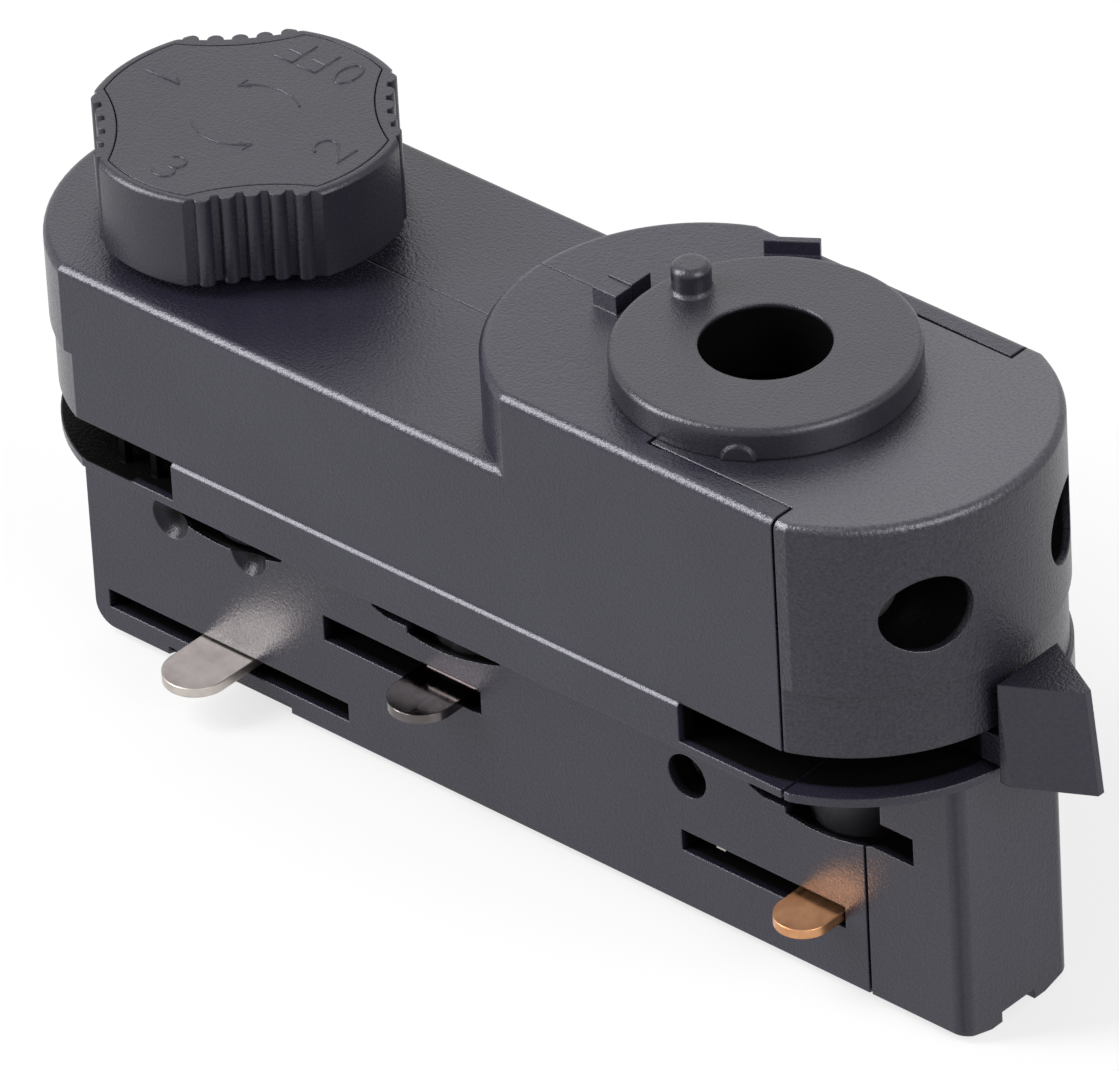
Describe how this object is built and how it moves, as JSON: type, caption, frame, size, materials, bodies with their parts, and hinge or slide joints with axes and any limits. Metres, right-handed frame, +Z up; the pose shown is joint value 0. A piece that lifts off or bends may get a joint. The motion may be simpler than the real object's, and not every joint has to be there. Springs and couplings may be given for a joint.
{
  "type": "track light adapter",
  "caption": "Long round-ended adapter that locks a lamp into a multi-circuit lighting track, with a selector knob, lock lever, contact blades and a swivel disc for the lamp.",
  "frame": {"origin": "on the lamp axis, at the top of the lamp disc, in the middle of the housing's width", "axes": "+X along the adapter towards the lever end, +Z up out of the track along the lamp axis, contact blades towards -Y"},
  "size_m": [0.1233, 0.0366, 0.066],
  "materials": {
    "housing_plastic": "moulded, fine satin",
    "cap_plastic": "moulded, leathery grain",
    "knob_plastic": "moulded, fine satin",
    "inner_plastic": "moulded, matt",
    "screw_steel": "zinc plated",
    "spring_steel": "rolled strip",
    "brass_strip": "rolled strip",
    "plated_brass": "tin plated, satin",
    "copper_blade": "bare copper alloy, satin"
  },
  "bodies": {
    "housing": {"near_shell": "housing_plastic", "far_shell": "housing_plastic", "end_cap": "cap_plastic", "end_foot": "housing_plastic", "cap_screws": "screw_steel", "shell_screw": "screw_steel", "terminal_block": "inner_plastic", "terminal_screws": "screw_steel", "phase_strip": "brass_strip", "neutral_strip": "brass_strip", "earth_strip": "brass_strip", "detent_spring": "spring_steel"},
    "selector": {"selector_knob": "knob_plastic", "knob_face": "knob_plastic", "knob_screw": "screw_steel", "selector_shaft": "inner_plastic", "slip_ring": "brass_strip", "phase_blade": "plated_brass"},
    "lever": {"lock_lever": "housing_plastic", "lever_rotor": "inner_plastic", "earth_blade": "copper_blade"},
    "middle_rotor": {"mid_rotor": "inner_plastic", "neutral_blade": "plated_brass"},
    "sleeve_rotor": {"left_rotor": "inner_plastic"},
    "link": {"drive_link": "spring_steel"},
    "swivel": {"lamp_disc": "knob_plastic", "disc_clip": "spring_steel"}
  },
  "joints": [
    {"name": "selector_turn", "type": "hinge", "parent": "housing", "child": "selector", "pos_m": [-0.0647, 0, -0.02], "axis": [0, 0, 1], "continuous": true},
    {"name": "lever_swing", "type": "hinge", "parent": "housing", "child": "lever", "pos_m": [0.0103, 0, -0.031], "axis": [0, 0, 1], "range_deg": [-90, 0]},
    {"name": "mid_turn", "type": "hinge", "parent": "housing", "child": "middle_rotor", "pos_m": [-0.037, 0, -0.031], "axis": [0, 0, 1], "range_deg": [-90, 0]},
    {"name": "sleeve_turn", "type": "hinge", "parent": "housing", "child": "sleeve_rotor", "pos_m": [-0.0647, 0, -0.031], "axis": [0, 0, 1], "range_deg": [-90, 0]},
    {"name": "link_turn", "type": "hinge", "parent": "lever", "child": "link", "pos_m": [0.00422, 0.00608, -0.0279], "axis": [0, 0, 1], "range_deg": [0, 90]},
    {"name": "lamp_swivel", "type": "hinge", "parent": "housing", "child": "swivel", "pos_m": [0, 0, -0.004], "axis": [0, 0, 1], "range_deg": [-150, 150]}
  ],
  "couplings": [
    {"joint": "mid_turn", "follows": "lever_swing", "ratio": 1},
    {"joint": "sleeve_turn", "follows": "lever_swing", "ratio": 1},
    {"joint": "link_turn", "follows": "lever_swing", "ratio": -1}
  ]
}
